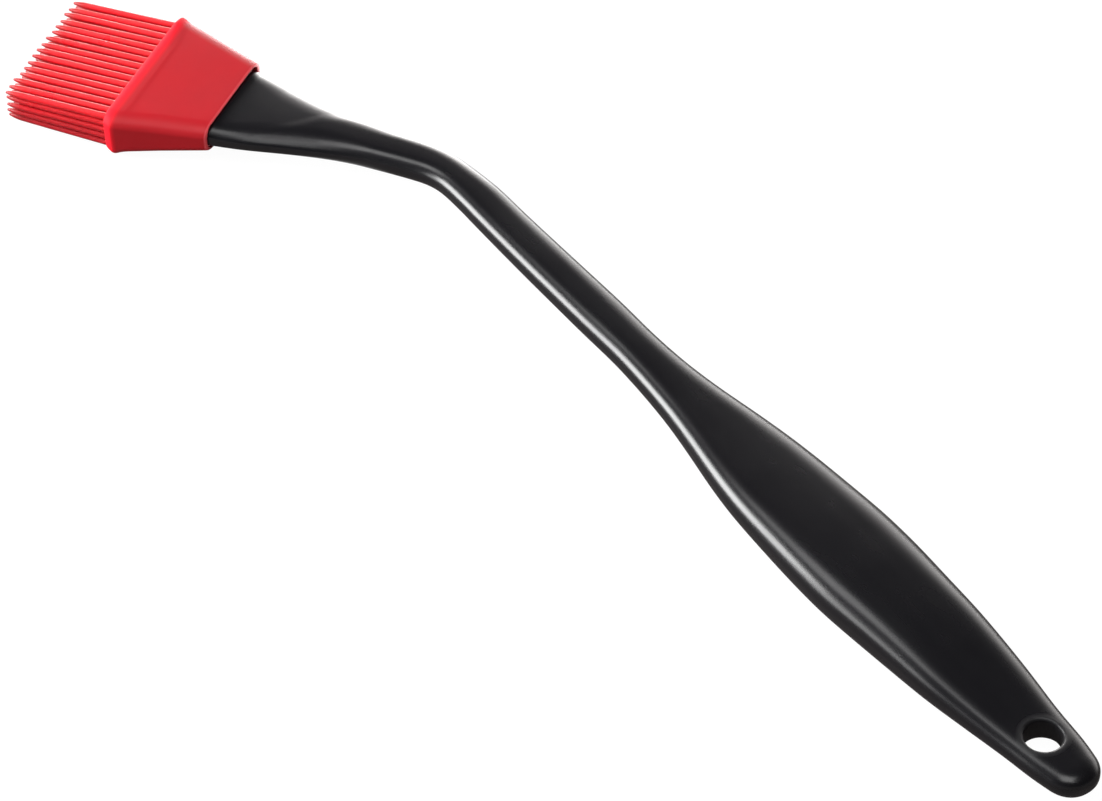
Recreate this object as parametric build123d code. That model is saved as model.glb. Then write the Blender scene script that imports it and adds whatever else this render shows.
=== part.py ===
from build123d import *
import os
from math import sin, cos, tan, radians

# Angled silicone basting brush.  Millimetres, +Z up.
# It lies flat, its two wide faces looking up (+Z) and down (-Z).
# Origin: centre of the hanging hole, on the mid-plane of the handle.
# The butt of the handle is at +X. The shaft runs along -X, then bends in its
# own flat plane towards -Y. "Front" means towards the bristle tips.

# ---- path: shaft, bend and head --------------------------------------------
BEND_ANGLE = radians(32.77)   # between shaft and head
BEND_VERTEX = 229.5           # hole centre to the corner of the bend
BEND_TANGENT = 21.0           # corner to each end of the bend arc
VERTEX_TO_MOUTH = 56.4        # corner to the mouth of the sleeve

# Path lengths are measured from the hole centre.
BEND_RADIUS = BEND_TANGENT / tan(BEND_ANGLE / 2)
BEND_START = BEND_VERTEX - BEND_TANGENT
BEND_END = BEND_START + BEND_RADIUS * BEND_ANGLE
MOUTH_AT = BEND_END + VERTEX_TO_MOUTH - BEND_TANGENT

# ---- handle ----------------------------------------------------------------
# Path length (butt negative), width, thickness, corner radius, and shift of
# the centre line (positive to the +Y side).
HANDLE_STATIONS = [
    (-14.80, 3.80, 2.60, 1.10, 0.00),       # end of the butt
    (-14.30, 6.90, 4.40, 1.95, 0.00),
    (-13.30, 9.60, 5.60, 2.50, 0.00),
    (-11.70, 11.50, 6.10, 2.75, 0.00),
    (-9.20, 12.57, 6.24, 2.84, 0.00),
    (-6.00, 13.73, 6.24, 2.84, 0.00),
    (0.00, 15.33, 6.31, 2.87, -0.05),       # hanging hole
    (6.50, 17.00, 6.61, 3.01, -0.08),
    (14.00, 19.25, 7.38, 3.36, -0.06),
    (25.00, 22.11, 8.97, 3.94, -0.07),
    (36.00, 24.08, 10.41, 4.48, 0.00),
    (47.00, 25.61, 11.31, 4.95, -0.13),
    (58.00, 27.07, 11.62, 5.29, -0.18),     # thickest part of the grip
    (70.00, 27.09, 11.33, 5.12, -0.10),
    (81.50, 26.03, 10.59, 4.82, -0.16),
    (92.00, 24.63, 9.79, 4.45, -0.18),
    (102.00, 22.38, 9.01, 4.10, 0.00),
    (113.00, 18.82, 8.24, 3.75, 0.15),
    (124.00, 15.34, 7.74, 3.52, 0.13),
    (135.00, 12.99, 7.48, 3.40, 0.04),
    (147.00, 11.81, 7.38, 3.36, 0.12),
    (160.00, 12.03, 7.29, 3.32, 0.13),
    (185.00, 11.57, 6.99, 3.18, -0.04),
    (200.00, 11.15, 6.72, 3.06, 0.00),
    (212.00, 10.77, 6.60, 3.00, 0.14),
    (219.00, 10.13, 6.55, 2.98, 0.47),
    (225.00, 10.09, 6.51, 2.96, 0.78),
    (232.00, 10.99, 6.47, 2.94, 0.22),
    (242.00, 11.64, 6.44, 2.93, -0.98),
    (252.00, 13.48, 6.40, 2.91, -0.94),
    (262.00, 16.66, 6.37, 2.90, -1.03),
    (270.00, 20.50, 6.35, 2.88, -0.85),
    (276.00, 23.74, 6.33, 2.84, -0.59),
    (281.00, 26.36, 6.31, 2.82, -0.28),
]

HOLE_RADIUS = 4.2
HOLE_RIM = 0.6           # radius of the rounded rims
HOLE_THICKNESS = 6.3     # between the two rims
HOLE_OVERRUN = 2         # cutter beyond each face

NECK_WIDTH, NECK_THICKNESS, NECK_CORNER = 28.0, 6.3, 2.6
NECK_LOFT_GAP = 0.2      # loft ends this far behind the mouth
PLUG_BACK = 0.24         # plug starts this far behind the mouth, inside the loft
PLUG_DEPTH = 0.9         # plug inside the sleeve
PLUG_UNDERSIZE = 0.06    # off the neck's width and thickness

TANG_WIDTH, TANG_THICKNESS, TANG_CORNER = 19.0, 3.6, 1.2
TANG_BACK = 2.0          # tang starts this far behind the mouth, inside the neck
TANG_LENGTH = 18.5       # from the mouth
TANG_CHAMFER = 0.5

# ---- sleeve ----------------------------------------------------------------
SLEEVE_LENGTH = 25.4     # mouth to front face
SLEEVE_SHIFT = 0.2       # off the head axis, to the +Y side
# Distance from the mouth, width, thickness, corner radius.
SLEEVE_STATIONS = [
    (0.0, 30.1, 7.5, 2.5),              # rolled mouth
    (0.6, 31.0, 7.95, 2.9),
    (21.4, 43.5, 11.6, 2.9),            # end of the taper
    (22.9, 44.5, 13.0, 2.9),            # lip ridge
    (24.0, 43.6, 12.5, 2.8),
    (SLEEVE_LENGTH, 41.4, 11.0, 2.4),   # front face
]
LIP_START = 2            # index of the station where the lip begins

RECESS_DEPTH = 1.1       # takes the neck plug
RECESS_GAP = 0.25        # around the neck
RECESS_EXTRA_CORNER = 0.2
TANG_CLEARANCE = 0.05    # on each side of the tang
TANG_END_GAP = 0.6
SLEEVE_OVERRUN = 1       # cutters behind the mouth

# ---- bristles --------------------------------------------------------------
COLUMNS, COLUMN_PITCH = 16, 2.56    # across the width
ROWS, ROW_PITCH = 5, 2.08           # through the thickness
ROOT_RADIUS = 0.84
SHANK_RADIUS = 0.68                 # where the pointed end begins
TIP_RADIUS = 0.20
BRISTLE_LENGTH = 28.0               # root centre to tip
POINT_LENGTH = 4.0
ROOT_GAP = 0.04                     # round root to front face of the sleeve
OUTER_ROW_LEAN = 0.45               # outer rows lean in by this much at the tips


# ---- section planes --------------------------------------------------------
def directions(angle):
    """Directions along and across the path where it has turned by angle."""
    along = Vector(-cos(angle), -sin(angle), 0)
    across = Vector(-sin(angle), cos(angle), 0)
    return along, across


HEAD_ALONG, HEAD_ACROSS = directions(BEND_ANGLE)
MOUTH = Vector(-BEND_VERTEX, 0, 0) + HEAD_ALONG * VERTEX_TO_MOUTH


def head_plane(distance, shift=0.0):
    """Section plane of the head, at a distance in front of the mouth."""
    origin = MOUTH + HEAD_ALONG * distance + HEAD_ACROSS * shift
    return Plane(origin=origin, x_dir=HEAD_ACROSS, z_dir=HEAD_ALONG)


def path_plane(length, shift=0.0):
    """Section plane of the handle, at a path length from the hole."""
    if length > BEND_END:
        return head_plane(length - MOUTH_AT, shift)
    if length <= BEND_START:
        angle = 0.0
        centre = Vector(-length, 0, 0)
    else:
        angle = (length - BEND_START) / BEND_RADIUS
        centre = Vector(-BEND_START - BEND_RADIUS * sin(angle),
                        -BEND_RADIUS * (1 - cos(angle)), 0)
    along, across = directions(angle)
    return Plane(origin=centre + across * shift, x_dir=across, z_dir=along)


def head_bar(start, end, width, thickness, corner):
    """Rounded bar along the head axis; start and end count from the mouth."""
    section = head_plane(start) * RectangleRounded(width, thickness, corner)
    return extrude(section, amount=end - start)


def largest_solid(shape):
    return shape.solids().sort_by(SortBy.VOLUME)[-1]


# ---- pieces ----------------------------------------------------------------
def make_hole_cutter():
    """Round cutter that leaves a rounded rim on both faces."""
    half = HOLE_THICKNESS / 2
    end = half + HOLE_OVERRUN
    wall = half - HOLE_RIM
    outer = HOLE_RADIUS + HOLE_RIM
    with BuildPart() as cutter:
        with BuildSketch(Plane.XZ):
            with BuildLine():
                Polyline((0, end), (0, -end), (outer, -end), (outer, -half))
                RadiusArc((outer, -half), (HOLE_RADIUS, -wall), -HOLE_RIM)
                Line((HOLE_RADIUS, -wall), (HOLE_RADIUS, wall))
                RadiusArc((HOLE_RADIUS, wall), (outer, half), -HOLE_RIM)
                Polyline((outer, half), (outer, end), (0, end))
            make_face()
        revolve(axis=Axis.Z)
    return cutter.part


def make_handle():
    """Butt, grip, shaft, bend, neck and tang in one piece."""
    sections = [path_plane(length, shift) * RectangleRounded(width, thickness, corner)
                for length, width, thickness, corner, shift in HANDLE_STATIONS]
    sections.append(path_plane(MOUTH_AT - NECK_LOFT_GAP)
                    * RectangleRounded(NECK_WIDTH, NECK_THICKNESS, NECK_CORNER))
    body = loft(sections)
    plug = head_bar(-PLUG_BACK, PLUG_DEPTH, NECK_WIDTH - PLUG_UNDERSIZE,
                    NECK_THICKNESS - PLUG_UNDERSIZE, NECK_CORNER)
    tang = head_bar(-TANG_BACK, TANG_LENGTH, TANG_WIDTH, TANG_THICKNESS, TANG_CORNER)
    front_face = tang.faces().sort_by(Axis((0, 0, 0), tuple(HEAD_ALONG)))[-1]
    tang = chamfer(front_face.edges(), TANG_CHAMFER)
    return largest_solid(body + plug + tang - make_hole_cutter())


def join_rings(rings):
    """Straight-sided loft between each ring and the next, joined."""
    joined = loft(rings[0:2], ruled=True)
    for i in range(1, len(rings) - 1):
        joined = joined + loft(rings[i:i + 2], ruled=True)
    return joined


def make_sleeve():
    """Tapered collar and flared lip, open at the mouth and closed in front."""
    rings = [head_plane(distance, SLEEVE_SHIFT) * RectangleRounded(width, thickness, corner)
             for distance, width, thickness, corner in SLEEVE_STATIONS]
    collar = join_rings(rings[:LIP_START + 1])
    lip = join_rings(rings[LIP_START:])
    recess = head_bar(-SLEEVE_OVERRUN, RECESS_DEPTH, NECK_WIDTH + 2 * RECESS_GAP,
                      NECK_THICKNESS + 2 * RECESS_GAP, NECK_CORNER + RECESS_EXTRA_CORNER)
    pocket = head_bar(-SLEEVE_OVERRUN, TANG_LENGTH + TANG_END_GAP,
                      TANG_WIDTH + 2 * TANG_CLEARANCE,
                      TANG_THICKNESS + 2 * TANG_CLEARANCE, TANG_CORNER + TANG_CLEARANCE)
    return largest_solid(collar + lip - recess - pocket)


def make_bristle():
    """One tapered bristle along +Z, its round root centred on the origin."""
    root = (ROOT_RADIUS, 0)
    shank = (SHANK_RADIUS, BRISTLE_LENGTH - POINT_LENGTH)
    tip = (TIP_RADIUS, BRISTLE_LENGTH - TIP_RADIUS)
    with BuildPart() as bristle:
        with BuildSketch(Plane.XZ):
            with BuildLine():
                RadiusArc((0, -ROOT_RADIUS), root, -ROOT_RADIUS)
                Line(root, shank)
                Line(shank, tip)
                RadiusArc(tip, (0, BRISTLE_LENGTH), -TIP_RADIUS)
                Line((0, BRISTLE_LENGTH), (0, -ROOT_RADIUS))
            make_face()
        revolve(axis=Axis.Z)
    return bristle.part


def make_row(bristle, row):
    """One row of separate bristles; row 0 is the top one."""
    top = (ROWS - 1) / 2 * ROW_PITCH
    z = top - row * ROW_PITCH
    lean = -z / top * OUTER_ROW_LEAN
    direction = (HEAD_ALONG * BRISTLE_LENGTH + Vector(0, 0, lean)).normalized()
    row_centre = MOUTH + HEAD_ALONG * (SLEEVE_LENGTH + ROOT_RADIUS + ROOT_GAP) + Vector(0, 0, z)
    bristles = []
    for column in range(COLUMNS):
        offset = (column - (COLUMNS - 1) / 2) * COLUMN_PITCH
        plane = Plane(origin=row_centre + HEAD_ACROSS * offset,
                      x_dir=HEAD_ACROSS, z_dir=direction)
        bristles.append(bristle.moved(plane.location))
    return Compound(children=bristles)


# ---- write -----------------------------------------------------------------
os.makedirs("parts", exist_ok=True)
export_step(make_handle(), "parts/handle.step")
export_step(make_sleeve(), "parts/head_sleeve.step")
bristle = make_bristle()
for row in range(ROWS):
    export_step(make_row(bristle, row), f"parts/bristle_row_{row + 1}.step")
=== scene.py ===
"""A long-handled silicone brush: nylon handle, bent neck, silicone sleeve and five bristle rows.

The hanging hole is at the origin. The handle runs towards -x in the xy plane, then bends
towards -y into the head. Thickness is along z. Shapes are worked out in millimetres and
stored in metres.

Handle coordinates: `length` along the centre line from the hole, `offset` across it.
Head coordinates: `s` along the head from its mouth, `v` across it (towards +y), and z.
"""
import bpy
import math
from functools import cached_property, reduce
from itertools import product

import numpy as np
from mathutils import Matrix, Vector


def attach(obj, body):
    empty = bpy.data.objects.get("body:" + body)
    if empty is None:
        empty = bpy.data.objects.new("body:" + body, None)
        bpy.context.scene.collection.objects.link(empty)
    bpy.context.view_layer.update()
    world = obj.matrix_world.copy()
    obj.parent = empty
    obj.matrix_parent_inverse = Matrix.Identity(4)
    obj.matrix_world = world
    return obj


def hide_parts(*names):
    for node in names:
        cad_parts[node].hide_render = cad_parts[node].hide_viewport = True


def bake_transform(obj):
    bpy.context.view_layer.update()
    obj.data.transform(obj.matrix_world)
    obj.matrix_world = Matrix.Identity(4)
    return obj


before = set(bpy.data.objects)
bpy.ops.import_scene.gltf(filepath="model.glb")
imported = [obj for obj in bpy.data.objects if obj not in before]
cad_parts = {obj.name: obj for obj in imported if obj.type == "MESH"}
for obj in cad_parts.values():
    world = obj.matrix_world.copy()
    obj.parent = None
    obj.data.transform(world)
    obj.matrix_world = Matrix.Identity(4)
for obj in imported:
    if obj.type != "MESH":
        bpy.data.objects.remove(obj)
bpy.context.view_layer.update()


MM = 0.001

# ---------------------------------------------------------------------------
# Dimensions (millimetres)
# ---------------------------------------------------------------------------
HOLE_R, HOLE_RIM = 4.2, 0.8
BUTT, BUTT_RADIUS = 14.8, 5.4  # reach of the butt past the hole, roundness of its corners

# The bend is an arc tangent to both straight centre lines, which cross at the vertex
BEND_ANGLE = math.radians(32.77)
VERTEX, TANGENT, VERTEX_TO_MOUTH = 229.5, 21.0, 56.4
BEND_R = TANGENT / math.tan(BEND_ANGLE / 2)
BEND_START = VERTEX - TANGENT
BEND_END = BEND_START + BEND_R * BEND_ANGLE
MOUTH_LENGTH = BEND_END + VERTEX_TO_MOUTH - TANGENT
HEAD_ALONG = np.array([-math.cos(BEND_ANGLE), -math.sin(BEND_ANGLE)])
HEAD_ACROSS = np.array([-math.sin(BEND_ANGLE), math.cos(BEND_ANGLE)])
MOUTH = np.array([-VERTEX, 0.0]) + HEAD_ALONG * VERTEX_TO_MOUTH

NECK_W, NECK_T, NECK_IN = 28.1, 6.3, 0.9
TANG_W, TANG_T, TANG_LEN = 19.0, 3.6, 18.5
SLEEVE_LEN = 25.4

# Handle cross-sections: length, width, thickness, edge radius, sideways shift, crown
HANDLE_STATIONS = np.array([
    (-30.0, 9.20, 6.20, 2.75, 0.00, 0.20),
    (-14.4, 10.40, 6.23, 2.75, 0.00, 0.23),
    (-9.2, 12.30, 6.23, 2.75, 0.00, 0.23),
    (-6.0, 15.04, 6.24, 2.75, 0.00, 0.24),
    (0.0, 15.31, 6.25, 2.75, -0.02, 0.25),
    (6.5, 17.22, 6.50, 2.79, -0.17, 0.34),
    (14.0, 19.66, 7.30, 3.00, -0.05, 0.45),
    (25.0, 22.58, 9.00, 3.35, -0.14, 0.75),
    (36.0, 24.52, 10.50, 3.70, 0.03, 1.00),
    (47.0, 25.92, 11.40, 4.05, -0.15, 1.12),
    (58.0, 27.78, 11.70, 4.40, -0.20, 1.25),
    (70.0, 27.64, 11.40, 4.18, -0.05, 1.17),
    (81.5, 26.44, 10.60, 3.97, -0.13, 1.09),
    (92.0, 25.15, 9.80, 3.78, -0.17, 0.92),
    (102.0, 22.87, 9.00, 3.60, 0.02, 0.75),
    (113.0, 19.18, 8.20, 3.35, 0.26, 0.62),
    (124.0, 15.47, 7.70, 3.23, 0.19, 0.50),
    (135.0, 13.10, 7.45, 3.12, 0.04, 0.48),
    (147.0, 11.90, 7.38, 3.10, 0.13, 0.47),
    (160.0, 12.43, 7.30, 3.08, 0.14, 0.45),
    (185.0, 11.87, 7.00, 2.95, -0.04, 0.43),
    (200.0, 11.39, 6.70, 2.81, -0.04, 0.42),
    (212.0, 11.22, 6.60, 2.77, 0.14, 0.41),
    (219.0, 10.31, 6.55, 2.75, 0.29, 0.40),
    (225.0, 9.88, 6.50, 2.73, 1.26, 0.40),
    (232.0, 11.97, 6.47, 2.72, 0.26, 0.40),
    (242.0, 11.80, 6.44, 2.70, -1.34, 0.40),
    (252.0, 13.86, 6.40, 2.68, -0.80, 0.40),
    (262.0, 16.86, 6.37, 2.66, -1.19, 0.40),
    (270.0, 20.89, 6.35, 2.60, -0.86, 0.34),
    (276.0, 24.35, 6.33, 2.60, -0.80, 0.30),
    (281.0, 26.60, 6.31, 2.60, -0.20, 0.28),
    (285.0, 28.60, 6.30, 2.60, 0.00, 0.26),
    (289.0, 29.20, 6.30, 2.60, 0.00, 0.25),
    (300.0, 29.20, 6.30, 2.60, 0.00, 0.20),
])
SIDE_BULGE = 0.10  # fall of the sides from mid-thickness to the faces
SECTION_LIMIT = 1.2  # the curves of a section stop growing at this many half-sizes

# Diagonal crease where the flat of the neck runs out: (length, offset) and (length, strength)
CREASE_OFFSET = ((237.0, 7.5), (244.0, 6.4), (249.0, 5.2), (255.0, 3.6), (261.0, 1.2),
                 (267.0, -4.6), (273.0, -9.2), (281.0, -11.8), (286.0, -13.0))
CREASE_STRENGTH = ((240.0, 0.0), (254.0, 1.0), (283.0, 1.0), (286.5, 0.35))
CREASE_WIDTH, CREASE_DEPTH = 4.4, 0.10
CREASE_SLOPE, CREASE_EASE = 0.020, 1.5  # slope beyond the crease, distance to reach it

# How far the rolled edge reaches inwards, in edge radii: (length, reach) on each side
LEAST_REACH = 1.45
REACH_PLUS = ((-15.0, 2.1), (18.0, 2.1), (40.0, 1.85), (240.0, 1.8), (258.0, 2.7),
              (274.0, 2.9), (283.0, 2.1), (287.0, 1.6))
REACH_MINUS = ((244.0, LEAST_REACH), (258.0, 2.7), (274.0, 2.9), (283.0, 2.1), (287.0, 1.6))
REACH_BLEND = 6.0  # width over which one side's reach passes into the other's
REACH_GROWTH = 0.3  # widening that makes up for a longer roll

# Sleeve cross-sections: s, half width, half thickness, edge radius
SLEEVE_STATIONS = np.array([
    (-3.0, 15.00, 3.74, 2.6),
    (0.0, 15.10, 3.80, 2.6),
    (0.6, 15.45, 3.96, 2.9),
    (12.0, 18.72, 5.02, 2.9),
    (20.0, 21.35, 5.70, 2.9),
    (21.6, 21.86, 6.02, 2.9),
    (22.8, 22.27, 6.50, 2.9),
    (23.1, 22.27, 6.52, 2.9),
    (24.2, 21.80, 6.22, 2.8),
    (25.4, 21.05, 5.66, 2.4),
    (30.0, 17.2, 2.8, 1.0),
])
SLEEVE_SHIFT, SLEEVE_SIDE_EXTRA = 0.2, 0.20
SLEEVE_REACH = 1.7  # how far the rolled edge reaches inwards, in edge radii
RIDGE_S, RIDGE_SLIP = 22.9, 1.6  # place of the raised ridge, and its shift on the +v side
LIP_LEN = SLEEVE_LEN - RIDGE_S
RIDGE_DROP, RIDGE_SPREAD = 0.46, 1.3  # the ridge is lower on its upper face
LIP_RADIUS, MOUTH_RADIUS, OPENING_RADIUS = 0.26, 0.50, 0.22
RECESS_GAP_W, RECESS_GAP_T, RECESS_DEPTH, RECESS_RADIUS = 0.24, 0.22, 1.1, 2.7
RECESS_SHIFT = -0.08
POCKET_GAP, POCKET_END_GAP, POCKET_RADIUS = 0.05, 0.6, 1.25
WELL_HALF_W, WELL_HALF_T, WELL_DEPTH, WELL_RADIUS = 20.10, 5.06, 0.45, 0.85

# Bristles
COLS, ROWS, COL_PITCH, ROW_PITCH = 16, 5, 2.56, 2.08
R_ROOT, R_SHANK, R_TIP = 0.91, 0.84, 0.22
ROOT_FLARE, FLARE_LEN = 0.06, 0.35
ROOT_S = SLEEVE_LEN - 0.95  # the roots start inside the sleeve
POINT_LEN, CAP_LEN = 4.0, 0.30
BRISTLE_LEN, LEN_AT_V, LEN_SLOPE = 29.44, 18.6, 0.02  # full length at this v, gain per mm
ROW_ROOT_SHIFT = (0.0, 0.35, -0.30, 0.35, 0.0)  # across the head, from the top row down
ROW_TIP_SHIFT = (0.0, 0.70, -0.45, 0.65, -0.10)
TIP_SPREAD, TIP_SHIFT, TIP_SQUEEZE = 0.982, 0.50, 0.45
BLEND_LEN = 14.0
SEGMENTS = 16
RING_STEPS = np.r_[np.linspace(0.0, 0.12, 4)[:-1], np.linspace(0.12, 0.80, 12),
                   np.linspace(0.80, 0.985, 8)[1:]]
CAP_STEPS = (0.45, 0.8)


# ---------------------------------------------------------------------------
# Distance-field tools
# ---------------------------------------------------------------------------
def dense_profile(stations, step, sigma):
    """Columns of a station table, sampled densely and softened so their slopes are continuous."""
    places = np.arange(stations[0, 0], stations[-1, 0], step)
    spacing = places[1] - places[0]
    half = int(3 * sigma / spacing)
    kernel = np.exp(-0.5 * (np.arange(-half, half + 1) * spacing / sigma) ** 2)
    kernel /= kernel.sum()
    columns = []
    for column in stations.T[1:]:
        fine = np.interp(places, stations[:, 0], column)
        padded = np.r_[np.full(half, fine[0]), fine, np.full(half, fine[-1])]
        columns.append(np.convolve(padded, kernel, "valid"))
    return places, columns


def sample(profile, at):
    places, columns = profile
    return [np.interp(at, places, column) for column in columns]


def lookup(rows, at):
    return np.interp(at, *zip(*rows))


HANDLE_PROFILE = dense_profile(HANDLE_STATIONS, step=0.2, sigma=4.0)
SLEEVE_PROFILE = dense_profile(SLEEVE_STATIONS, step=0.05, sigma=0.40)


def rounded_max(a, b, radius, power=2.0):
    """Intersection of two solids with a rolled edge."""
    u, w = np.maximum(a + radius, 0.0), np.maximum(b + radius, 0.0)
    flat = np.minimum(np.maximum(a, b) + radius, 0.0)
    return (u ** power + w ** power) ** (1.0 / power) + flat - radius


def oval_edge(side, top, reach_side, reach_top, power):
    """Rolled edge with its own reach inwards from the side and down from the top."""
    a, b = side / reach_side, top / reach_top
    u, w = np.maximum(a + 1.0, 0.0), np.maximum(b + 1.0, 0.0)
    flat = np.minimum(np.maximum(a, b) + 1.0, 0.0)
    return ((u ** power + w ** power) ** (1.0 / power) + flat - 1.0) * reach_top


def head_coords(points):
    from_mouth = points[:, :2] - MOUTH
    return from_mouth @ HEAD_ALONG, from_mouth @ HEAD_ACROSS, points[:, 2]


def head_to_world(points):
    out = np.empty_like(points)
    out[:, :2] = MOUTH + points[:, :1] * HEAD_ALONG + points[:, 1:2] * HEAD_ACROSS
    out[:, 2] = points[:, 2]
    return out


# ---------------------------------------------------------------------------
# Shape of the handle
# ---------------------------------------------------------------------------
def path_coords(x, y, s, v):
    """Length along the centre line and offset across it: straight, then arc, then head."""
    centre_x, centre_y = -BEND_START, -BEND_R
    angle = np.arctan2(-(x - centre_x), y - centre_y)
    distance = np.hypot(x - centre_x, y - centre_y)
    straight = -x <= BEND_START
    arc = (~straight) & (angle < BEND_ANGLE) & (angle >= 0)
    bent = np.where(arc, BEND_START + BEND_R * angle, MOUTH_LENGTH + s)
    length = np.where(straight, -x, bent)
    return length, np.where(straight, y, np.where(arc, distance - BEND_R, v))


def crease_drop(length, offset):
    """Fall of both faces on the +offset side of the crease."""
    beyond = offset - lookup(CREASE_OFFSET, length)
    k = np.clip(beyond / CREASE_WIDTH + 0.25, 0.0, 1.0)
    past = np.maximum(beyond, 0.0)
    step = CREASE_DEPTH * k * k * (3 - 2 * k)
    slope = CREASE_SLOPE * past * past / (past + CREASE_EASE)
    return lookup(CREASE_STRENGTH, length) * (step + slope)


def roll_reach(length, offset):
    plus, minus = lookup(REACH_PLUS, length), lookup(REACH_MINUS, length)
    return minus + (plus - minus) * np.clip(offset / REACH_BLEND + 0.5, 0.0, 1.0)


def handle_field(points):
    x, y, z = points[:, 0], points[:, 1], points[:, 2]
    s, v, _ = head_coords(points)
    length, offset = path_coords(x, y, s, v)
    width, thickness, radius, shift, crown = sample(HANDLE_PROFILE, length)
    half_w, half_t = width / 2, thickness / 2
    offset = offset - shift

    bulge = SIDE_BULGE * np.clip(z / half_t, -SECTION_LIMIT, SECTION_LIMIT) ** 2
    side = np.abs(offset) - (half_w - bulge)
    side = rounded_max(side, -length - BUTT, BUTT_RADIUS, power=2.2)
    fall = crown * np.clip(offset / half_w, -SECTION_LIMIT, SECTION_LIMIT) ** 2
    top = np.abs(z) - (half_t - fall - crease_drop(length, offset))

    reach = roll_reach(length, offset)
    extra = REACH_GROWTH * (reach - LEAST_REACH)
    side = side - extra / (1 + extra)
    reach_side = np.minimum(radius * reach, half_w - 0.2)
    body = oval_edge(side, top, reach_side, radius, power=2.3)
    # the neck ends just inside the sleeve
    body = np.where(length > MOUTH_LENGTH - 8, rounded_max(body, s - NECK_IN, 0.3), body)

    # tang inside the head, starting 2 mm back in the neck
    tang = rounded_max(np.abs(v) - TANG_W / 2, np.abs(z) - TANG_T / 2, 1.2)
    tang = rounded_max(tang, np.maximum(s - TANG_LEN, -s - 2.0), 0.5)
    body = np.minimum(body, tang)

    # hanging hole with rolled rims, cut only close to the butt
    hole = HOLE_R - np.hypot(x, y)
    return np.where(length < 25, rounded_max(body, hole, HOLE_RIM), body)


# ---------------------------------------------------------------------------
# Shape of the sleeve
# ---------------------------------------------------------------------------
def sleeve_field(points):
    s, v, z = head_coords(points)
    # the lip past the ridge is shorter on the +v side, so the profile is stretched there
    k = np.clip((v - 9.0) / 13.0, 0.0, 1.0)
    slip = RIDGE_SLIP * k * k * (3 - 2 * k)
    ridge = RIDGE_S + slip
    place = np.where(s < ridge, s * RIDGE_S / ridge,
                     RIDGE_S + (s - ridge) * LIP_LEN / (LIP_LEN - slip))
    half_w, half_t, radius = sample(SLEEVE_PROFILE, place)
    near_ridge = np.exp(-((place - RIDGE_S) / RIDGE_SPREAD) ** 2)
    half_t = half_t - RIDGE_DROP * near_ridge * np.clip(z / 3.0, 0.0, 1.0) * (1 - k)

    outer = oval_edge(np.abs(v - SLEEVE_SHIFT) - half_w - SLEEVE_SIDE_EXTRA,
                      np.abs(z) - half_t, radius * SLEEVE_REACH, radius, power=2.1)
    outer = rounded_max(outer, s - SLEEVE_LEN, LIP_RADIUS)
    outer = rounded_max(outer, -s, MOUTH_RADIUS)

    # openings at the mouth: recess round the neck and pocket for the tang
    recess = rounded_max(np.abs(v - RECESS_SHIFT) - (NECK_W / 2 + RECESS_GAP_W),
                         np.abs(z) - (NECK_T / 2 + RECESS_GAP_T), RECESS_RADIUS)
    recess = np.maximum(recess, s - RECESS_DEPTH)
    pocket = rounded_max(np.abs(v) - (TANG_W / 2 + POCKET_GAP),
                         np.abs(z) - (TANG_T / 2 + POCKET_GAP), POCKET_RADIUS)
    pocket = np.maximum(pocket, s - (TANG_LEN + POCKET_END_GAP))
    # shallow well at the other end, where the bristles stand
    well = rounded_max(np.abs(v) - WELL_HALF_W, np.abs(z) - WELL_HALF_T, WELL_RADIUS)
    well = np.maximum(well, (SLEEVE_LEN - WELL_DEPTH) - s)
    solid = rounded_max(outer, -np.minimum(recess, pocket), OPENING_RADIUS)
    return rounded_max(solid, -well, OPENING_RADIUS)


# ---------------------------------------------------------------------------
# Surface nets: a quad mesh of field = 0
# ---------------------------------------------------------------------------
def gradient(field, points, step):
    slopes = np.empty_like(points)
    for axis in range(3):
        shift = np.zeros(3)
        shift[axis] = step
        slopes[:, axis] = (field(points + shift) - field(points - shift)) / (2 * step)
    return slopes


def sample_grid(field, xs, ys, zs):
    """Field at every grid point, worked out in slabs to save memory."""
    values = np.empty((len(xs), len(ys), len(zs)), np.float32)
    grid_y, grid_z = np.meshgrid(ys, zs, indexing="ij")
    slab = np.c_[grid_y.ravel(), grid_z.ravel()]
    chunk = max(1, int(400000 / len(slab)))
    for i in range(0, len(xs), chunk):
        some = xs[i:i + chunk]
        points = np.empty((len(some) * len(slab), 3))
        points[:, 0] = np.repeat(some, len(slab))
        points[:, 1:] = np.tile(slab, (len(some), 1))
        values[i:i + chunk] = field(points).reshape(len(some), len(ys), len(zs))
    return values


def cell_points(values, cells):
    """Mean of the surface crossings on each cell's edges, in grid units."""
    total = np.zeros((len(cells), 3))
    count = np.zeros(len(cells))
    for corner in product((0, 1), repeat=3):
        for axis in range(3):
            if corner[axis]:
                continue
            other = list(corner)
            other[axis] = 1
            start = values[tuple((cells + corner).T)].astype(float)
            end = values[tuple((cells + other).T)].astype(float)
            crossed = (start < 0) != (end < 0)
            fraction = np.where(crossed, start / np.where(crossed, start - end, 1), 0)
            point = np.tile(np.array(corner, float), (len(cells), 1))
            point[:, axis] += fraction
            total += np.where(crossed[:, None], point, 0)
            count += crossed
    return total / count[:, None] + cells


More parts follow.
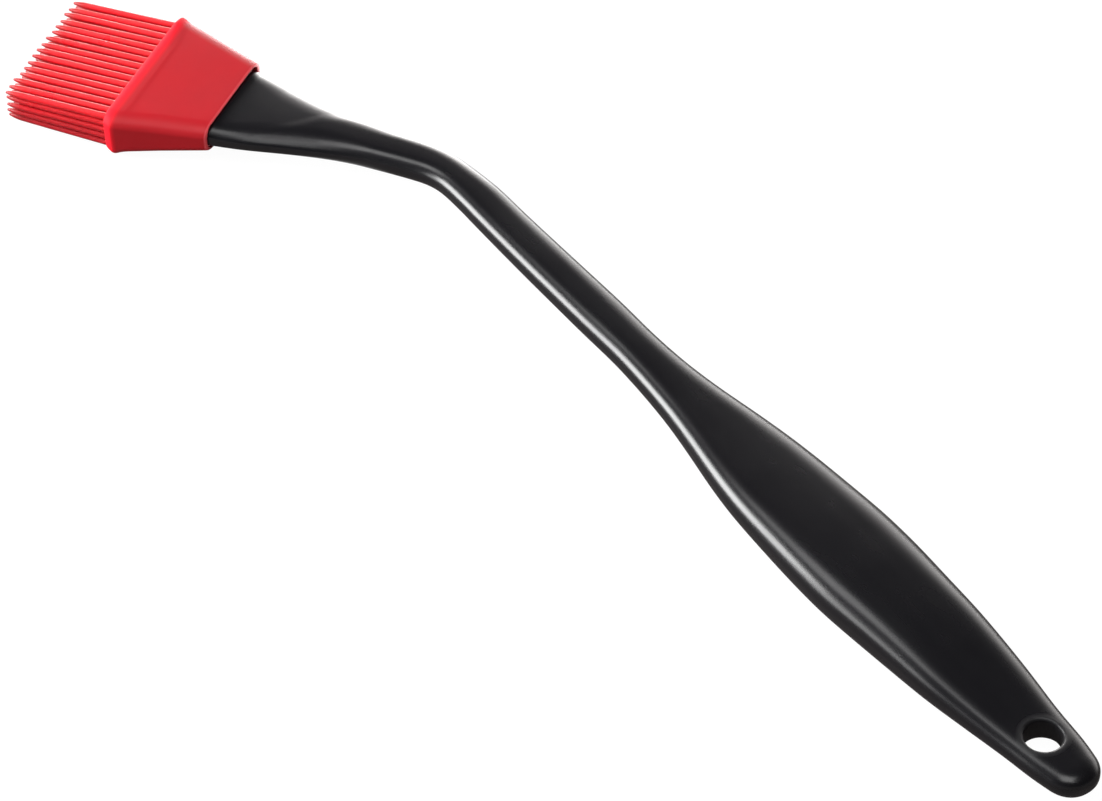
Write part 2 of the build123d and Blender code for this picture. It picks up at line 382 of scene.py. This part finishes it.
def grid_quads(inside, index):
    """One quad round every grid edge the surface crosses, wound to face outwards."""
    size = inside.shape
    quads = []
    for axis in range(3):
        u, w = (axis + 1) % 3, (axis + 2) % 3
        edges = np.argwhere(np.diff(inside, axis=axis))
        within = ((edges[:, u] > 0) & (edges[:, w] > 0)
                  & (edges[:, u] < size[u] - 1) & (edges[:, w] < size[w] - 1))
        edges = edges[within]
        corners = []
        for step_u, step_w in ((-1, -1), (0, -1), (0, 0), (-1, 0)):
            cell = edges.copy()
            cell[:, u] += step_u
            cell[:, w] += step_w
            corners.append(index[tuple(cell.T)])
        quad = np.array(corners).T
        flipped = ~inside[tuple(edges.T)]
        quad[flipped] = quad[flipped][:, ::-1]
        quads.append(quad)
    quads = np.concatenate(quads)
    return quads[(quads >= 0).all(1)]


def settle(field, points, quads, spacing):
    """Slide the points along the surface until evenly spaced, then settle them on it."""
    a, b = np.concatenate([quads[:, [i, (i + 1) % 4]] for i in range(4)]).T
    size = len(points)
    neighbours = np.maximum(np.bincount(a, minlength=size) + np.bincount(b, minlength=size), 1)
    for step in range(9):
        slope = gradient(field, points, 0.02)
        squared = np.maximum((slope ** 2).sum(1), 0.05)
        if step < 6:
            mean = np.empty_like(points)
            for axis in range(3):
                mean[:, axis] = (np.bincount(a, points[b, axis], size)
                                 + np.bincount(b, points[a, axis], size)) / neighbours
            move = (mean - points) * 0.6
            move -= ((move * slope).sum(1) / squared)[:, None] * slope
            points = points + move
        pull = np.clip(field(points) / squared, -spacing, spacing)
        points = points - pull[:, None] * slope * 0.9
    return points


def surface_nets(field, low, high, spacing):
    low = np.asarray(low, float)
    size = np.ceil((np.asarray(high, float) - low) / spacing).astype(int) + 1
    axes = [low[k] + spacing * np.arange(size[k]) for k in range(3)]
    values = sample_grid(field, *axes)
    inside = values < 0
    count = np.zeros(size - 1, np.int8)
    for i, j, k in product((0, 1), repeat=3):
        count += inside[i:size[0] - 1 + i, j:size[1] - 1 + j, k:size[2] - 1 + k]
    active = (count > 0) & (count < 8)
    cells = np.argwhere(active)
    index = np.full(active.shape, -1, np.int64)
    index[active] = np.arange(len(cells))
    quads = grid_quads(inside, index)
    points = settle(field, low + spacing * cell_points(values, cells), quads, spacing)
    normals = gradient(field, points, 0.05)
    normals /= np.maximum(np.linalg.norm(normals, axis=1), 1e-9)[:, None]
    return points, quads, normals


# ---------------------------------------------------------------------------
# Object helpers
# ---------------------------------------------------------------------------
def add_object(name, data):
    ob = bpy.data.objects.new(name, data)
    bpy.context.scene.collection.objects.link(ob)
    return ob


def smooth_shade(mesh):
    mesh.polygons.foreach_set("use_smooth", np.ones(len(mesh.polygons), bool))


def moulding(name, field, low, high, spacing, material, rides, stands_for):
    points, quads, normals = surface_nets(field, low, high, spacing)
    mesh = bpy.data.meshes.new(name)
    mesh.vertices.add(len(points))
    mesh.vertices.foreach_set("co", (points * MM).astype(np.float32).ravel())
    mesh.loops.add(quads.size)
    mesh.loops.foreach_set("vertex_index", quads.astype(np.int32).ravel())
    mesh.polygons.add(len(quads))
    mesh.polygons.foreach_set("loop_start", np.arange(0, quads.size, 4, dtype=np.int32))
    mesh.polygons.foreach_set("loop_total", np.full(len(quads), 4, np.int32))
    mesh.update(calc_edges=True)
    mesh.validate()
    smooth_shade(mesh)
    mesh.normals_split_custom_set_from_vertices([tuple(n) for n in normals])
    ob = add_object(name, mesh)
    mesh.materials.append(material)
    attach(ob, rides)
    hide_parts(stands_for)


# ---------------------------------------------------------------------------
# Shader graph helpers
# ---------------------------------------------------------------------------
class Graph:
    """A node tree; inputs take either a socket or a plain value."""

    def __init__(self, tree):
        self.tree = tree
        tree.nodes.clear()

    def feed(self, socket, value):
        if isinstance(value, bpy.types.NodeSocket):
            self.tree.links.new(value, socket)
        else:
            socket.default_value = (*value, 1.0) if socket.type == "RGBA" else value

    def set(self, node, inputs):
        for key, value in inputs.items():
            self.feed(node.inputs[key], value)

    def node(self, kind, inputs=None, **settings):
        node = self.tree.nodes.new(kind)
        for key, value in settings.items():
            setattr(node, key, value)
        self.set(node, inputs or {})
        return node

    def math(self, operation, a, b):
        return self.node("ShaderNodeMath", {0: a, 1: b}, operation=operation).outputs[0]

    def multiply(self, *factors):
        return reduce(lambda a, b: self.math("MULTIPLY", a, b), factors)

    def remap(self, value, span, to=(0.0, 1.0), curve="LINEAR"):
        inputs = {"From Min": span[0], "From Max": span[1],
                  "To Min": to[0], "To Max": to[1], "Value": value}
        return self.node("ShaderNodeMapRange", inputs, interpolation_type=curve).outputs["Result"]

    def xyz(self, vector):
        return self.node("ShaderNodeSeparateXYZ", {0: vector}).outputs


class Surface(Graph):
    """A new material built round one Principled shader."""

    def __init__(self, name):
        self.material = bpy.data.materials.new(name)
        self.material.use_nodes = True
        super().__init__(self.material.node_tree)
        self.shader = self.node("ShaderNodeBsdfPrincipled")
        self.node("ShaderNodeOutputMaterial", {"Surface": self.shader.outputs[0]})

    @cached_property
    def position(self):
        return self.node("ShaderNodeTexCoord").outputs["Object"]

    def noise(self, scale, detail, roughness, stretch=None):
        place = self.position
        if stretch:
            place = self.node("ShaderNodeMapping", {"Vector": place, "Scale": stretch}).outputs[0]
        inputs = {"Scale": scale, "Detail": detail, "Roughness": roughness, "Vector": place}
        return self.node("ShaderNodeTexNoise", inputs).outputs["Fac"]

    def mix(self, factor, first, second):
        inputs = {0: factor, 6: first, 7: second}
        return self.node("ShaderNodeMix", inputs, data_type="RGBA").outputs[2]

    def tint(self, base, colour, mask, strength):
        return self.mix(self.multiply(mask, strength), base, colour)

    def bump(self, height, distance, strength, **more):
        inputs = {"Strength": strength, "Distance": distance, "Height": height, **more}
        return self.node("ShaderNodeBump", inputs).outputs["Normal"]

    def along_head(self):
        """Head coordinate s, in metres."""
        inputs = {0: self.position, 1: (float(HEAD_ALONG[0]), float(HEAD_ALONG[1]), 0.0)}
        dot = self.node("ShaderNodeVectorMath", inputs, operation="DOT_PRODUCT")
        return self.math("SUBTRACT", dot.outputs["Value"], float(MOUTH @ HEAD_ALONG) * MM)


# ---------------------------------------------------------------------------
# Materials (places in metres)
# ---------------------------------------------------------------------------
CLOUD_SPAN = (0.3, 0.7)  # the part of the noise range that is used


def black_nylon():
    surface = Surface("black_nylon_satin")
    cloud = surface.noise(scale=60.0, detail=3.0, roughness=0.55)
    grain = surface.noise(scale=5200.0, detail=2.0, roughness=0.6)
    flow = surface.noise(scale=240.0, detail=2.0, roughness=0.5, stretch=(0.12, 1.0, 1.0))

    colour = surface.mix(surface.remap(cloud, CLOUD_SPAN),
                         (0.0042, 0.0040, 0.0056), (0.0048, 0.0046, 0.0062))
    pointiness = surface.node("ShaderNodeNewGeometry").outputs["Pointiness"]
    edges = surface.remap(pointiness, span=(0.53, 0.62))
    colour = surface.tint(colour, (0.016, 0.016, 0.018), mask=edges, strength=0.35)

    roughness = surface.math("ADD", surface.remap(cloud, CLOUD_SPAN, to=(0.25, 0.275)),
                             surface.remap(flow, CLOUD_SPAN, to=(-0.008, 0.012)))
    # the rolled rim of the hanging hole is rougher than the faces
    radius = surface.node("ShaderNodeVectorMath", {0: surface.position}, operation="LENGTH")
    rim = surface.remap(radius.outputs["Value"], span=(0.0056, 0.0068), to=(0.24, 0.0))
    flow_bump = surface.bump(flow, distance=0.00002, strength=0.20)
    surface.set(surface.shader, {
        "Base Color": colour,
        "Roughness": surface.math("ADD", roughness, rim),
        "IOR": 1.52,
        "Normal": surface.bump(grain, distance=0.00001, strength=0.30, Normal=flow_bump),
    })
    return surface.material


def finish_silicone(surface, colour, roughness, specular, scatter):
    grain = surface.noise(scale=4200.0, detail=2.0, roughness=0.6)
    surface.set(surface.shader, {
        "Base Color": colour,
        "Roughness": roughness,
        "IOR": 1.39,
        "Specular IOR Level": specular,
        "Subsurface Weight": scatter,
        "Subsurface Radius": (1.0, 0.22, 0.16),
        "Subsurface Scale": 0.0016,
        "Normal": surface.bump(grain, distance=0.000012, strength=0.35),
    })
    return surface.material


def silicone_sleeve():
    surface = Surface("red_silicone_sleeve")
    cloud = surface.noise(scale=90.0, detail=3.0, roughness=0.5)
    colour = surface.mix(surface.remap(cloud, CLOUD_SPAN),
                         (0.50, 0.0105, 0.018), (0.475, 0.0095, 0.0165))
    s = surface.along_head()
    # painted light: the chamfered lip is tinted a brighter, deeper red where it catches the light
    lip = surface.remap(s, span=(0.0218, 0.0234))
    colour = surface.tint(colour, (0.95, 0.006, 0.022), mask=lip, strength=0.9)
    # painted highlights: paler lines along the rims at both ends
    rim_highlights = surface.math("ADD", surface.remap(s, span=(0.02512, 0.0253)),
                        surface.remap(s, span=(0.0003, 0.0007), to=(1.0, 0.0)))
    colour = surface.tint(colour, (1.0, 0.115, 0.135), mask=rim_highlights, strength=0.85)
    roughness = surface.math("ADD", surface.remap(cloud, CLOUD_SPAN, to=(0.41, 0.49)),
                             surface.multiply(lip, 0.22))
    return finish_silicone(surface, colour, roughness, specular=0.34, scatter=0.10)


def silicone_bristles():
    surface = Surface("red_silicone_bristles")
    cloud = surface.noise(scale=90.0, detail=3.0, roughness=0.5)
    colour = surface.mix(surface.remap(cloud, CLOUD_SPAN),
                         (0.74, 0.014, 0.022), (0.69, 0.012, 0.019))
    s = surface.along_head()
    # painted shade: the bristle ends are darkened
    tip_shade = surface.remap(s, span=(0.0485, 0.0532))
    colour = surface.tint(colour, (0.16, 0.018, 0.016), mask=tip_shade, strength=0.55)
    # painted shade: the bristles darken towards the bottom of the head, as if occluded
    low = surface.remap(surface.xyz(surface.position)["Z"], span=(-0.0030, 0.0040), to=(1.0, 0.0))
    colour = surface.tint(colour, (0.34, 0.010, 0.016), mask=low, strength=0.75)
    # painted shade: the bristles darken at their roots, next to the sleeve
    roots = surface.remap(s, span=(0.0252, 0.0285), to=(1.0, 0.0))
    colour = surface.tint(colour, (0.38, 0.006, 0.012), mask=roots, strength=0.35)
    roughness = surface.remap(cloud, CLOUD_SPAN, to=(0.27, 0.35))
    return finish_silicone(surface, colour, roughness, specular=0.5, scatter=0.05)


NYLON = black_nylon()
SLEEVE_RED = silicone_sleeve()
BRISTLE_RED = silicone_bristles()

# the CAD pieces get the same finishes
for node_name, cad_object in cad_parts.items():
    cad_object.data.materials.clear()
    cad_object.data.materials.append(
        {"handle": NYLON, "head_sleeve": SLEEVE_RED}.get(node_name, BRISTLE_RED))

# ---------------------------------------------------------------------------
# Handle and sleeve
# ---------------------------------------------------------------------------
moulding("handle_moulding", handle_field, low=(-298.0, -47.0, -6.8), high=(16.0, 15.0, 6.8),
         spacing=0.40, material=NYLON,
         rides="handle", stands_for="handle")
moulding("silicone_sleeve", sleeve_field, low=(-312.0, -66.0, -7.2), high=(-263.0, -14.0, 7.2),
         spacing=0.26, material=SLEEVE_RED,
         rides="head", stands_for="head_sleeve")

# ---------------------------------------------------------------------------
# Bristles
# ---------------------------------------------------------------------------
rng = np.random.RandomState(20261)


def bristle_radius(from_sleeve, from_end, length):
    if from_end < POINT_LEN:
        k = from_end / POINT_LEN
        return R_TIP + (R_SHANK - R_TIP) * (1 - (1 - k) ** 2.0)
    taper = min(from_sleeve / (length - POINT_LEN), 1.0)
    flare = ROOT_FLARE * math.exp(-from_sleeve / FLARE_LEN)
    return R_ROOT + (R_SHANK - R_ROOT) * taper + flare


def bristle_points(root_v, root_z, tip_v, tip_z, length, bow_v, bow_z):
    """Rings of one tapered, bowed finger, then its root centre and tip, in head coordinates."""
    angles = np.linspace(0, 2 * math.pi, SEGMENTS, endpoint=False)

    def ring(s, v, z, radius):
        return np.c_[np.full(SEGMENTS, s), v + radius * np.cos(angles),
                     z + radius * np.sin(angles)]

    rings = []
    total = length + (SLEEVE_LEN - ROOT_S)
    for step in RING_STEPS:
        s = ROOT_S + step * total
        from_sleeve = max(s - SLEEVE_LEN, 0.0)
        radius = bristle_radius(from_sleeve, total * (1 - step), length)
        k = min(max(from_sleeve / length, 0.0), 1.0)
        v = root_v + (tip_v - root_v) * k + bow_v * math.sin(math.pi * k) * k
        z = root_z + (tip_z - root_z) * k + bow_z * math.sin(math.pi * k) * k
        rings.append(ring(s, v, z, radius))
    # rounded tip
    for step in CAP_STEPS:
        rings.append(ring(s + step * CAP_LEN, tip_v, tip_z, radius * math.sqrt(1 - step * step)))
    return np.concatenate(rings + [[[ROOT_S, root_v, root_z]], [[s + CAP_LEN, tip_v, tip_z]]])


def bristle_faces(base):
    """Side quads and end fans for one bristle whose first vertex is `base`."""
    rings = len(RING_STEPS) + len(CAP_STEPS)
    last = base + (rings - 1) * SEGMENTS
    root = last + SEGMENTS
    around = [(j, (j + 1) % SEGMENTS) for j in range(SEGMENTS)]
    faces = []
    for start in range(base, last, SEGMENTS):
        end = start + SEGMENTS
        faces += [(start + j, start + k, end + k, end + j) for j, k in around]
    faces += [(root, base + k, base + j) for j, k in around]
    faces += [(root + 1, last + j, last + k) for j, k in around]
    return faces


def centre_point(s, z):
    """World place, in metres, of a point on the head's centre plane."""
    return tuple(float(c) for c in head_to_world(np.array([[s, 0, z]], float))[0] * MM)


def bristle_row(row):
    half_rows = (ROWS - 1) / 2
    row_z = (half_rows - row) * ROW_PITCH
    points, faces = [], []
    for col in range(COLS):
        col_v = (col - (COLS - 1) / 2) * COL_PITCH
        # the sideways shift of a row fades out towards the -v edge
        inner = min(max((col_v + 16.0) / 5.0, 0.0), 1.0)
        tip_v = (col_v * TIP_SPREAD - TIP_SHIFT + rng.uniform(-0.26, 0.26)
                 + inner * ROW_TIP_SHIFT[row])
        squeeze = 1 - TIP_SQUEEZE / (half_rows * ROW_PITCH)
        tip_z = row_z * squeeze + rng.uniform(-0.10, 0.10)
        length = BRISTLE_LEN + LEN_SLOPE * (col_v - LEN_AT_V) + rng.uniform(-0.5, 0.0)
        local = bristle_points(col_v + inner * ROW_ROOT_SHIFT[row], row_z, tip_v, tip_z, length,
                               bow_v=rng.uniform(-0.16, 0.16), bow_z=rng.uniform(-0.08, 0.08))
        faces += bristle_faces(col * len(local))
        points.append(head_to_world(local))
    number = row + 1
    mesh = bpy.data.meshes.new("bristles_%d" % number)
    mesh.from_pydata([tuple(p) for p in np.concatenate(points) * MM], [], faces)
    mesh.update()
    smooth_shade(mesh)
    ob = add_object("bristles_row_%d" % number, mesh)
    mesh.materials.append(BRISTLE_RED)
    centre_point(SLEEVE_LEN, row_z)
    centre_point(SLEEVE_LEN + BLEND_LEN, row_z)
    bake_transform(ob)
    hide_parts("bristle_row_%d" % number)


for row_index in range(ROWS):
    bristle_row(row_index)


# ---------------------------------------------------------------------------
# Stage (metres): pale floor, studio surroundings, lights, camera
# ---------------------------------------------------------------------------
def floor_material():
    surface = Surface("pale_floor")
    rays = surface.node("ShaderNodeLightPath").outputs
    place = surface.xyz(surface.node("ShaderNodeNewGeometry").outputs["Position"])
    # bright patch beyond the head on the +y side, seen only in reflections
    card = surface.multiply(surface.remap(place["X"], span=(-0.235, -0.275)),
                            surface.remap(place["Y"], span=(-0.028, 0.002)),
                            surface.remap(place["X"], span=(-0.75, -0.60)),
                            rays["Is Glossy Ray"], 9.0)
    seen = surface.multiply(rays["Is Camera Ray"], 0.965)
    surface.set(surface.shader, {
        # first colour lights the product, second is what the camera sees
        "Base Color": surface.mix(rays["Is Camera Ray"], (0.22, 0.20, 0.195), (0.07, 0.07, 0.07)),
        "Roughness": 0.9,
        "Specular IOR Level": 0.1,
        "Emission Color": (1.0, 1.0, 1.0),
        "Emission Strength": surface.math("ADD", seen, card),
    })
    return surface.material


def add_floor(half_size, place):
    mesh = bpy.data.meshes.new("floor")
    corners = [(x * half_size, y * half_size, 0) for x, y in ((-1, -1), (1, -1), (1, 1), (-1, 1))]
    mesh.from_pydata(corners, [], [(0, 1, 2, 3)])
    floor = add_object("floor", mesh)
    floor.location = place
    mesh.materials.append(floor_material())


def add_world():
    world = bpy.data.worlds.new("studio")
    bpy.context.scene.world = world
    world.use_nodes = True
    graph = Graph(world.node_tree)
    direction = graph.xyz(graph.node("ShaderNodeTexCoord").outputs["Generated"])

    def ramp(value, span, to):
        return graph.remap(value, span, to, curve="SMOOTHSTEP")

    def glow(azimuth, spread, strength, heights):
        """Light from one azimuth (degrees), fading out with height."""
        angle = math.radians(azimuth)
        toward = graph.math("ADD", graph.multiply(direction["X"], math.cos(angle)),
                            graph.multiply(direction["Y"], math.sin(angle)))
        return graph.multiply(ramp(toward, spread, to=(0.0, strength)),
                              ramp(direction["Z"], heights, to=(1.0, 0.0)))

    sky = ramp(direction["Z"], span=(0.05, 0.50), to=(0.30, 0.04))
    wall = glow(azimuth=128.0, spread=(0.55, 0.95), strength=3.4, heights=(0.12, 0.54))
    side = glow(azimuth=152.0, spread=(0.915, 0.985), strength=11.0, heights=(0.10, 0.34))
    light = graph.math("ADD", sky, graph.math("ADD", wall, side))
    # past the edge of the floor the camera sees plain pale ground
    seen = graph.node("ShaderNodeLightPath").outputs["Is Camera Ray"]
    lit = graph.multiply(light, graph.math("SUBTRACT", 1.0, seen))
    background = graph.node("ShaderNodeBackground", {
        "Color": (1.0, 0.97, 0.95),
        "Strength": graph.math("ADD", lit, graph.multiply(seen, 1.06)),
    })
    graph.node("ShaderNodeOutputWorld", {0: background.outputs[0]})


def area(name, place, target, size, power, reflected=True):
    light = bpy.data.lights.new(name, "AREA")
    light.shape = "RECTANGLE"
    light.size = size
    light.size_y = size
    light.energy = power
    ob = add_object(name, light)
    ob.location = place
    ob.rotation_euler = (Vector(target) - Vector(place)).to_track_quat("-Z", "Y").to_euler()
    ob.visible_glossy = reflected


def add_camera():
    data = bpy.data.cameras.new("camera")
    camera = add_object("camera", data)
    data.sensor_width = 36.0
    data.lens = 121.5359347
    data.shift_x = 0.00152804
    data.shift_y = -0.000966152
    data.clip_start = 0.01
    data.clip_end = 50
    right = (0.56675845, 0.82369651, -0.0175758)
    up = (-0.56938503, 0.40701535, 0.71424029)
    backward = (0.59547086, -0.39479433, 0.69967985)
    pose = Matrix((right, up, backward)).transposed().to_4x4()
    pose.translation = (0.36355021, -0.36255521, 0.59746013)
    camera.matrix_world = pose
    bpy.context.scene.camera = camera


add_floor(half_size=4.0, place=(-0.15, 0, -0.00705))
add_world()
area("top_box", (0.10, -0.22, 1.25), target=(-0.15, -0.015, 0.0), size=0.8, power=7.8)
area("key_box", (-0.78, -0.60, 0.34), target=(-0.19, -0.01, 0), size=0.40, power=10.0)
area("key_low", (-0.46, -0.70, 0.27), target=(-0.04, 0.0, 0), size=0.30, power=1.5)
area("crest_box", (-0.71, -0.29, 1.10), target=(-0.31, -0.05, 0.0), size=0.42, power=2.6)
area("fill_side", (0.35, -0.80, 0.26), target=(-0.29, -0.04, 0), size=0.45, power=1.3,
     reflected=False)
area("fill_front", (-1.00, -0.46, 0.22), target=(-0.30, -0.05, 0), size=0.40, power=1.9,
     reflected=False)
add_camera()

view = bpy.context.scene.view_settings
view.view_transform = "Standard"
view.look = "None"
view.exposure = 0.0
